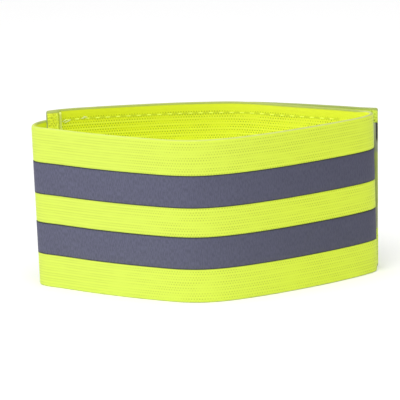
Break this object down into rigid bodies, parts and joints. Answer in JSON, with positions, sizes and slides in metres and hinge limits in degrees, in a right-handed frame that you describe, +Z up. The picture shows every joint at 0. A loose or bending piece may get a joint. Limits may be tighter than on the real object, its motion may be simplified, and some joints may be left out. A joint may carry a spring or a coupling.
{
  "type": "reflective armband",
  "caption": "Woven elastic strip bent into a standing loop, with reflective stripes and a hook-and-loop overlap at the back.",
  "frame": {"origin": "middle of the footprint, on the floor under the lower edge", "axes": "+X along the width of the loop, towards the free outer end; -Y towards the striped front; +Z up, across the strip"},
  "size_m": [0.1048, 0.046, 0.0535],
  "materials": {
    "elastic_lime": "woven elastic, matt",
    "reflective_grey": "glass-bead reflective, satin",
    "loop_pile": "brushed loop pile, matt",
    "hook_tape": "moulded hooks, satin"
  },
  "bodies": {
    "root": {"elastic_band": "elastic_lime", "reflective_stripe_lower": "reflective_grey", "reflective_stripe_upper": "reflective_grey", "loop_patch": "loop_pile", "hook_patch": "hook_tape"}
  },
  "joints": []
}
